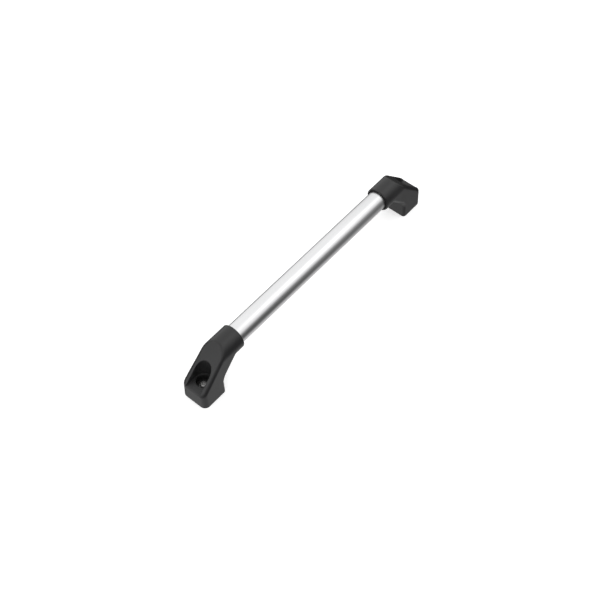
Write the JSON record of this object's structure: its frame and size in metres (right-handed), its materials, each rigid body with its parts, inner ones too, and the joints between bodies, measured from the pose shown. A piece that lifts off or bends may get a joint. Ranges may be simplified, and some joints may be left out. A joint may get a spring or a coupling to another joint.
{
  "type": "cargo bar",
  "caption": "Straight round tube held above a deck by two moulded end brackets with slanted legs and open pockets over their mounting screws.",
  "frame": {"origin": "midway between the two mounting screws, on the plane of the deck that the feet stand on", "axes": "+X along the bar towards the right bracket, +Y across the bar, +Z away from the deck"},
  "size_m": [0.454, 0.0406, 0.0902],
  "materials": {
    "satin_aluminium": "satin anodised, fine lengthwise extrusion lines",
    "bracket_nylon": "fine moulded grain, glass-filled nylon",
    "seal_rubber": "matt",
    "plug_nylon": "moulded",
    "zinc_steel": "bright zinc plate",
    "stainless_steel": "plain stainless steel"
  },
  "bodies": {
    "root": {"grip_tube": "satin_aluminium", "left_bracket": "bracket_nylon", "right_bracket": "bracket_nylon", "left_collar_seal": "seal_rubber", "right_collar_seal": "seal_rubber", "left_tube_plug": "plug_nylon", "right_tube_plug": "plug_nylon", "left_lock_screw": "zinc_steel", "right_lock_screw": "zinc_steel", "left_foot_bush": "zinc_steel", "right_foot_bush": "zinc_steel", "left_mount_washer": "stainless_steel", "right_mount_washer": "stainless_steel", "left_mount_screw": "stainless_steel", "right_mount_screw": "stainless_steel"}
  },
  "joints": []
}
